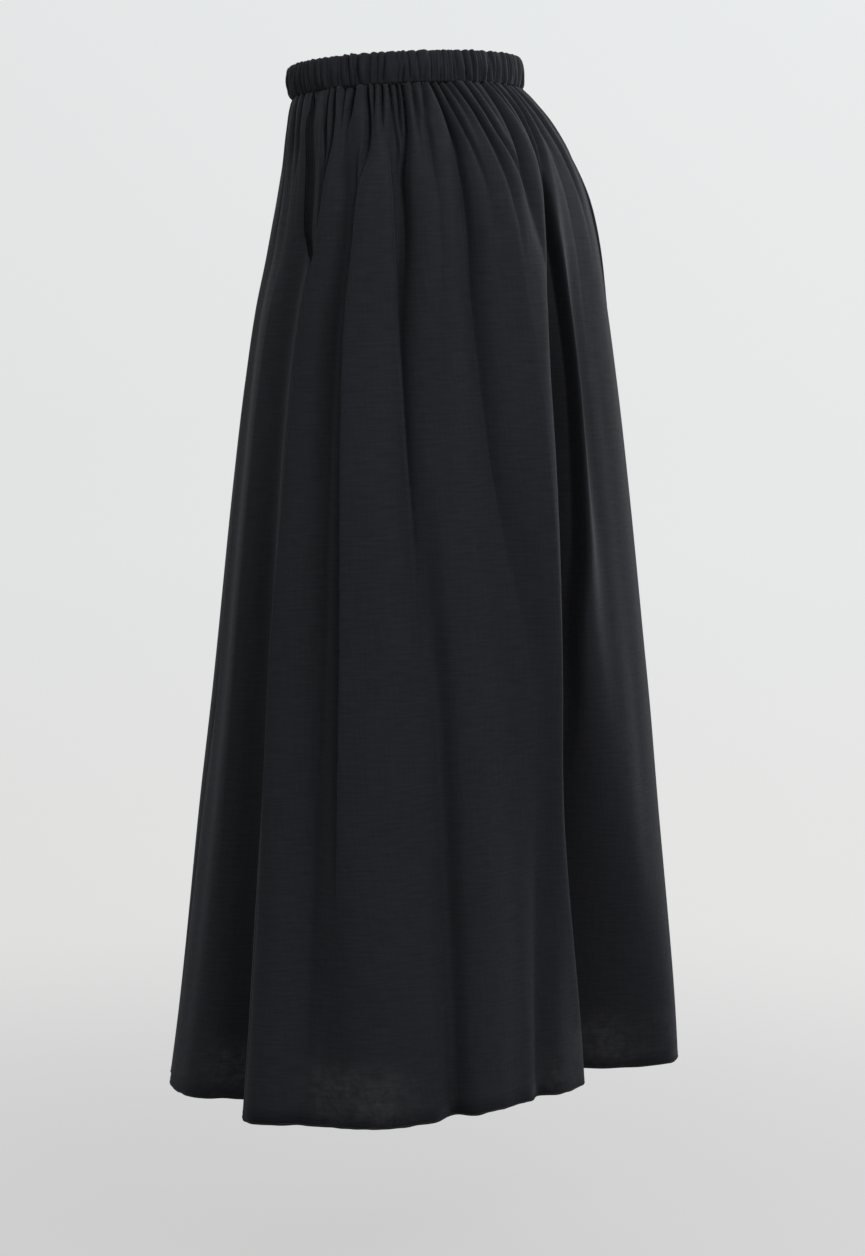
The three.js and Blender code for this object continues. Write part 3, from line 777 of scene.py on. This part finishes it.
# The back's columns lie closer together along its deepest valley
def makeBackPanel():
    depths = rowDepths(panel["rows"])
    share = np.linspace(-1, 1, panel["columns"] + 1)
    depth = depths[:, None] + 0 * share[None, :]
    start = besideSeam(panel["sideSeam"] + 0 * depths, depths, 1)[:, None]
    stop = besideSeam(360 - panel["sideSeam"] + 0 * depths, depths, -1)[:, None]
    valley = min(folds, key=lambda fold: fold["out"][-1])
    middle = smoothBetween(foldDepths, valley["angle"], depths)[:, None]
    away = np.abs(share)
    closer = away - panel["valleyShare"] * np.sin(2 * np.pi * away) / (2 * np.pi)
    angle = middle + (np.where(share < 0, start, stop) - middle) * closer
    inset = seamDip(angle, depth, start) + seamDip(angle, depth, stop)
    points = clothPoints(angle, depth, inset, hemDrop(angle, depth))
    return makePiece("backPanel", points, depths, partsOf("back_panel")), angle[-1]


pocketDepths = np.linspace(0, pocket["bagDepth"], pocket["rows"] + 1)


# Angle and depth over a pocket piece that ends at a line on the skirt
def pocketGrid(side, line):
    share = np.linspace(0, 1, pocket["columns"] + 1)
    angle = side * (pocket["bagFrom"] + (np.abs(line)[:, None] - pocket["bagFrom"]) * share)
    if side < 0:
        angle = angle[:, ::-1]
    return angle, pocketDepths[:, None] + 0 * angle


def makePocketBag(side, label):
    angle, depth = pocketGrid(side, frontEdge(pocketDepths, side))
    points = clothPoints(angle, depth, pocket["bagInset"])
    return makePiece(label + "PocketBag", points, pocketDepths, ["pocket_bag_" + label],
                     pocket["bagThickness"], pocketCloth)


# The hip piece lies behind the mouth's edge, and comes out level with the panels past the mouth
def makeHipPiece(side, label):
    seam = besideSeam(side * panel["sideSeam"] + 0 * pocketDepths, pocketDepths, -side)
    angle, depth = pocketGrid(side, seam)
    edge = np.abs(frontEdge(pocketDepths, side))[:, None]
    pastMouth = (np.abs(angle) - edge) * clothSide(angle, depth)[2]
    aboveEnd = (pocket["mouthDepth"] - depth) * pocket["mouthEndShare"]
    clear = np.minimum(pastMouth, aboveEnd)
    caught = 1 - smoothStep(0, pocket["caughtDepth"], depth)
    caught = caught * smoothStep(*pocket["caughtBeside"], pastMouth)
    inset = pocket["hipInset"] * (1 - smoothStep(*pocket["hipEase"], clear)) * (1 - caught)
    points = clothPoints(angle, depth, inset)
    return makePiece(label + "HipPiece", points, pocketDepths, ["pocket_hip_" + label])


# The casing: one strip folded over the elastic, ruched between the seam and the top fold
band = {
    "topSide": 122,
    "topBack": 101,
    "topCentre": 3,
    "ruches": 74,
    "shift": [(1.3, 4, 1.1), (1.6, 9, 0.4), (1.15, 23, 2)],
    "slant": [(1.2, 5, 0.6), (1.3, 13, 2)],
    "rucheHeight": 2.4,
    "uneven": [(0.18, 6, 2.5), (0.15, 11, 0)],
    "evenShare": 0.85,
    "fade": (0.25, 29, 5),
    "splitHeight": 0.6,
    "splitShift": [(1.4, 7, 1)],
    "splitSlant": 2.4,
    "splitUneven": [(1, 17, 1.2)],
    "sharpness": 0.5,
    "valley": 1.3,
    "tuckDrop": 0.75,
    "tuckWidth": 0.8,
    "tuckFade": 0.5,
    "topLift": 0.35,
    "topLiftFrom": 0.8,
    "columns": 1400,
    "stripLength": 950,
    "thickness": 0.7,
}

# The casing's outline: up from the seam, out from the plan, how much of the ruching shows there
bandProfile = [
    (-0.04, -1.2, 0.3), (0.00, -0.1, 0.45), (0.06, 0.4, 0.75), (0.14, 1.0, 1), (0.26, 1.8, 1), (0.38, 2.4, 1),
    (0.5, 2.8, 1), (0.62, 2.9, 1), (0.76, 2.8, 1), (0.88, 2.3, 1), (0.96, 1.5, 0.9), (1.0, 0.4, 0.7),
    (0.995, -0.5, 0.4), (0.96, -1.5, 0.3), (0.85, -2.3, 0.4), (0.7, -2.6, 0.4), (0.5, -2.7, 0.4),
    (0.3, -2.7, 0.4), (0.12, -2.5, 0.3), (0.02, -1.8, 0.1),
]


# The ruches with the finer tucks that split them; the skirt's own tucks run on up into the casing
def rucheOut(angle, up):
    a = np.radians(angle)
    uneven = 1 + waves(a, band["uneven"])
    slant = (up - 0.5) * waves(a, band["slant"])
    phase = band["ruches"] * a + waves(a, band["shift"])
    height, times, turn = band["fade"]
    fades = band["evenShare"] + height * np.sin(times * a + turn * up)
    narrow = 2 * np.abs(np.cos((phase + slant) / 2)) ** band["sharpness"] - band["valley"]
    splitPhase = 2 * phase + waves(a, band["splitShift"]) + band["splitSlant"] * slant
    split = band["splitHeight"] * (1 + waves(a, band["splitUneven"])) * pleat(splitPhase)
    drawn = np.zeros(np.broadcast(angle, up).shape)
    for first, second, _, deep, _, _ in tucks:
        centre = first + (first - second) * band["tuckFade"] * up
        fade = 1 - band["tuckFade"] * up
        drawn = drawn - band["tuckDrop"] * deep * fade * bell(angle, centre, band["tuckWidth"])
    return fades * (band["rucheHeight"] * uneven * narrow + split) + drawn


def makeBand():
    spots = np.array(bandProfile, float)
    up, out, ruched = (spots[:, [k]] for k in range(3))
    angle = np.linspace(0, 360, band["columns"], endpoint=False)[None, :]
    a = np.radians(angle)
    side = sections[0, 1] + (band["topSide"] - sections[0, 1]) * up
    back = sections[0, 2] + (band["topBack"] - sections[0, 2]) * up
    centre = sections[0, 3] + (band["topCentre"] - sections[0, 3]) * up
    ruche = rucheOut(angle, up)
    stand = out + ruched * ruche
    nx, ny = np.sin(a) / side, -np.cos(a) / back
    size = np.hypot(nx, ny)
    seam = -panel["bandHeight"] / 2 - panel["waistTilt"] * np.cos(a)
    lift = band["topLift"] * ruche * smoothStep(band["topLiftFrom"], 1, up)
    points = np.stack([
        side * np.sin(a) + nx / size * stand,
        centre - back * np.cos(a) + ny / size * stand,
        seam + up * panel["bandHeight"] + lift,
    ], -1)
    step = np.hypot(np.diff(spots[:, 0]) * panel["bandHeight"], np.diff(spots[:, 1]))
    wide = np.concatenate([[0], np.cumsum(step)])
    across = np.linspace(0, band["stripLength"], band["columns"] + 1)
    cut = np.stack(np.broadcast_arrays(across[None, :], wide[:, None]), -1)
    piece = addSheet("waistbandCasing", points, cut, closed=True)
    giveWall(piece, band["thickness"])
    dress(piece, ["waistband"], bandCloth)
    return piece


front, frontHemAngles = makeFrontPanel()
back, backHemAngles = makeBackPanel()
leftBag = makePocketBag(1, "left")
rightBag = makePocketBag(-1, "right")
leftHip = makeHipPiece(1, "left")
rightHip = makeHipPiece(-1, "right")
casing = makeBand()


# The narrow rolled hem, a small tube of cloth along the panel's lower edge
rolledHem = {
    "height": 2.3,
    "width": 1.8,
    "corners": 8,
    "lift": 0.6,
    "cutWidth": 9,
    "uneven": [(0.12, 61, 0), (0.1, 103, 1)],
}


def makeHem(label, angle):
    depth = np.full(angle.shape, float(panel["length"]))
    middle = clothPoints(angle, depth, panel["thickness"] / 2, hemDrop(angle, depth) - rolledHem["lift"])
    nx, ny, _ = clothSide(angle, depth)
    fat = 1 + waves(np.radians(angle), rolledHem["uneven"])
    turn = np.linspace(0, 2 * np.pi, rolledHem["corners"] + 1)
    out = rolledHem["width"] / 2 * np.sin(turn)[:, None] * fat
    up = rolledHem["height"] / 2 * np.cos(turn)[:, None] * fat
    points = middle[None] + np.stack([nx * out, ny * out, up], -1)
    wide = np.linspace(0, rolledHem["cutWidth"], rolledHem["corners"] + 1)
    piece = addSheet(label + "RolledHem", points, cutPlaces(points, wide))
    dress(piece, None, skirtCloth)
    return piece


frontHem = makeHem("front", frontHemAngles)
backHem = makeHem("back", backHemAngles)

stitch = {
    "length": 2.3,
    "width": 0.5,
    "height": 0.36,
    "spacing": 3.2,
    "proud": 0.12,
    "aboveHem": 4.6,
    "fromMouth": 7.0,
    "corners": (6, 5),
    "mouthStart": 6,
    "mouthStop": 158,
    "mouthPoints": 300,
}


# One stitch, modelled once and copied along the seams
def makeStitch():
    bpy.ops.object.select_all(action="DESELECT")
    corners, rings = stitch["corners"]
    bpy.ops.mesh.primitive_uv_sphere_add(segments=corners, ring_count=rings, radius=0.5)
    made = bpy.context.active_object
    spots = np.array([corner.co[:] for corner in made.data.vertices])
    faces = [list(face.vertices) for face in made.data.polygons]
    bpy.data.objects.remove(made)
    size = (stitch["length"], stitch["width"], stitch["height"])
    return spots[:, [2, 0, 1]] * size, faces


stitchSpots, stitchFaces = makeStitch()


# A row of stitches along a line on the cloth
def makeStitches(label, angle, depth):
    line = clothPoints(angle, depth, 0, hemDrop(angle, depth))
    run = np.concatenate([[0], np.cumsum(np.linalg.norm(np.diff(line, axis=0), axis=1))])
    places = np.arange(stitch["spacing"], run[-1] - stitch["spacing"], stitch["spacing"])
    middle = np.stack([np.interp(places, run, line[:, k]) for k in range(3)], -1)
    ahead = np.stack([np.interp(places + 1, run, line[:, k]) for k in range(3)], -1) - middle
    ahead = ahead / np.linalg.norm(ahead, axis=1)[:, None]
    nx, ny, _ = clothSide(np.interp(places, run, angle), np.interp(places, run, depth))
    outward = np.stack([nx, ny, 0 * nx], -1)
    across = np.cross(outward, ahead)
    across = across / np.linalg.norm(across, axis=1)[:, None]
    outward = np.cross(ahead, across)
    corners = middle[:, None] + outward[:, None] * stitch["proud"]
    for k, way in enumerate((ahead, across, outward)):
        corners = corners + way[:, None] * stitchSpots[None, :, [k]]
    starts = [k * len(stitchSpots) for k in range(len(places))]
    faces = [[start + corner for corner in face] for start in starts for face in stitchFaces]
    piece = addMesh(label, corners, faces)
    dress(piece, None, skirtCloth)
    return piece


def mouthStitches(label, side):
    depth = np.linspace(stitch["mouthStart"], stitch["mouthStop"], stitch["mouthPoints"])
    edge = frontEdge(depth, side)
    return makeStitches(label, edge - side * stitch["fromMouth"] / clothSide(edge, depth)[2], depth)


def hemStitches(label, angle):
    return makeStitches(label, angle, np.full(angle.shape, panel["length"] - stitch["aboveHem"]))


frontStitches = [hemStitches("frontHemStitches", frontHemAngles)]
frontStitches.append(mouthStitches("leftMouthStitches", 1))
frontStitches.append(mouthStitches("rightMouthStitches", -1))
backStitches = hemStitches("backHemStitches", backHemAngles)

# Colours are what the camera sees; distances are in metres, but for the floor's height in millimetres
studio = {
    "floorHeight": -1157,
    "floorRadius": 16.0,
    "floorCorners": 96,
    "floorRoughness": 0.9,
    "floorSpecular": 0.1,
    "floorFades": 8,
    "nearStop": 0.04,
    "middleStop": 0.2,
    "paperReach": (0.2, 2.2),
    "horizon": (-0.06, 0.1),
    # floorNear is also the paper's own colour; as the floor's glow, these three colours are painted light,
    # darker near the skirt and paler far off
    "floorNear": (0.635, 0.635, 0.635),
    "floorMiddle": (0.745, 0.745, 0.74),
    "floorFar": (0.755, 0.775, 0.77),
    "wall": (0.78, 0.8, 0.8),
    "wallLight": 0.62,
    "floorLight": 0.2,
    "paperShare": 0.1,
    "brighterSide": 1.055,
    "sideReach": 0.13,
    "lightsAim": -0.35,
}


# A glow that the camera sees in full, a little brighter to one side; the skirt gets it as softer room light
def addGlow(tree, kind, roomLight, sideways):
    glow = tree.nodes.new(kind)
    seen = tree.nodes.new("ShaderNodeLightPath").outputs["Is Camera Ray"]
    strength = addRange(tree, seen, (0, 1), (roomLight, 1))
    reach = studio["sideReach"]
    side = addRange(tree, sideways, (-reach, reach), (1, studio["brighterSide"]))
    tree.links.new(addMath(tree, "MULTIPLY", strength, side), glow.inputs["Strength"])
    return glow


# How far along a level direction a place lies, in the nodes
def addAlong(tree, place, turn):
    along = tree.nodes.new("ShaderNodeVectorMath")
    along.operation = "DOT_PRODUCT"
    along.inputs[1].default_value = (math.cos(math.radians(turn)), math.sin(math.radians(turn)), 0)
    tree.links.new(place, along.inputs[0])
    return along.outputs["Value"]


# The colour of the floor's painted glow, darker near the skirt and paler far off
def addPaintedFloorGlow(tree, length):
    ramp = tree.nodes.new("ShaderNodeValToRGB")
    ramp.color_ramp.interpolation = "EASE"
    stops = ramp.color_ramp.elements
    stops[0].position, stops[0].color = studio["nearStop"], (*studio["floorNear"], 1)
    stops[1].position, stops[1].color = 1.0, (*studio["floorFar"], 1)
    stops.new(studio["middleStop"]).color = (*studio["floorMiddle"], 1)
    tree.links.new(addRange(tree, length, (0, studio["floorFades"])), ramp.inputs["Fac"])
    return ramp.outputs["Color"]


def makeFloor():
    bpy.ops.object.select_all(action="DESELECT")
    bpy.ops.mesh.primitive_circle_add(
        vertices=studio["floorCorners"], radius=studio["floorRadius"], fill_type="NGON",
        location=(0, 0, studio["floorHeight"] * millimetre))
    floor = bpy.context.active_object
    floor.name = "studioFloor"
    material = bpy.data.materials.new("studioPaper")
    material.use_nodes = True
    tree = material.node_tree
    nodes, links = tree.nodes, tree.links
    paper = nodes["Principled BSDF"]
    paper.inputs["Base Color"].default_value = (*studio["floorNear"], 1)
    paper.inputs["Roughness"].default_value = studio["floorRoughness"]
    paper.inputs["Specular IOR Level"].default_value = studio["floorSpecular"]
    place = nodes.new("ShaderNodeTexCoord").outputs["Object"]
    ahead = addAlong(tree, place, camera["azimuth"] + 90)
    further = addMath(tree, "ADD", ahead, camera["distance"] * millimetre)
    sideways = addMath(tree, "DIVIDE", addAlong(tree, place, camera["azimuth"]), further)
    glow = addGlow(tree, "ShaderNodeEmission", studio["floorLight"], sideways)
    length = nodes.new("ShaderNodeVectorMath")
    length.operation = "LENGTH"
    links.new(place, length.inputs[0])
    # The floor's glow takes the painted ramp: darker near the skirt, paler far off
    links.new(addPaintedFloorGlow(tree, length.outputs["Value"]), glow.inputs["Color"])
    mix = nodes.new("ShaderNodeMixShader")
    away = length.outputs["Value"]
    share = addRange(tree, away, studio["paperReach"], (1 - studio["paperShare"], 1), smooth=True)
    links.new(share, mix.inputs["Fac"])
    links.new(paper.outputs[0], mix.inputs[1])
    links.new(glow.outputs[0], mix.inputs[2])
    links.new(mix.outputs[0], nodes["Material Output"].inputs["Surface"])
    floor.data.materials.append(material)


# The wall is the world's own light; it takes up the floor's far colour at the horizon
def makeWall():
    world = bpy.data.worlds.new("studioWall")
    world.use_nodes = True
    tree = world.node_tree
    nodes, links = tree.nodes, tree.links
    nodes.remove(nodes["Background"])
    place = nodes.new("ShaderNodeTexCoord").outputs["Generated"]
    sideways = addAlong(tree, place, camera["azimuth"])
    wall = addGlow(tree, "ShaderNodeBackground", studio["wallLight"], sideways)
    shade = nodes.new("ShaderNodeMix")
    shade.data_type = "RGBA"
    shade.inputs["A"].default_value = (*studio["floorFar"], 1)
    shade.inputs["B"].default_value = (*studio["wall"], 1)
    links.new(addRange(tree, addSplit(tree, place)["Z"], studio["horizon"]), shade.inputs["Factor"])
    links.new(shade.outputs["Result"], wall.inputs["Color"])
    links.new(wall.outputs[0], nodes["World Output"].inputs["Surface"])
    scene.world = world


# Softboxes: azimuth round the skirt, metres away, height, size, watts
softboxes = [
    {"name": "rightSoftbox", "azimuth": 246, "away": 2.2, "height": 0.5, "size": (1.4, 2.0), "power": 24},
    {"name": "leftSoftbox", "azimuth": 24, "away": 2.4, "height": 0.3, "size": (1.4, 2.0), "power": 2},
    {"name": "cameraSoftbox", "azimuth": 158, "away": 2.8, "height": 1.6, "size": (1.4, 1.2), "power": 42},
    {"name": "frontSoftbox", "azimuth": 318, "away": 3.0, "height": 1.2, "size": (1.6, 1.6), "power": 30},
]


def addSoftboxes():
    for box in softboxes:
        data = bpy.data.lights.new(box["name"], "AREA")
        data.shape = "RECTANGLE"
        data.size, data.size_y = box["size"]
        data.energy = box["power"]
        light = bpy.data.objects.new(box["name"], data)
        turn = math.radians(box["azimuth"])
        place = Vector((math.sin(turn) * box["away"], -math.cos(turn) * box["away"], box["height"]))
        light.location = place
        aim = Vector((0, 0, studio["lightsAim"]))
        light.rotation_euler = (aim - place).to_track_quat("-Z", "Y").to_euler()
        light.visible_camera = False
        scene.collection.objects.link(light)


makeFloor()
makeWall()
addSoftboxes()
print("studio set")
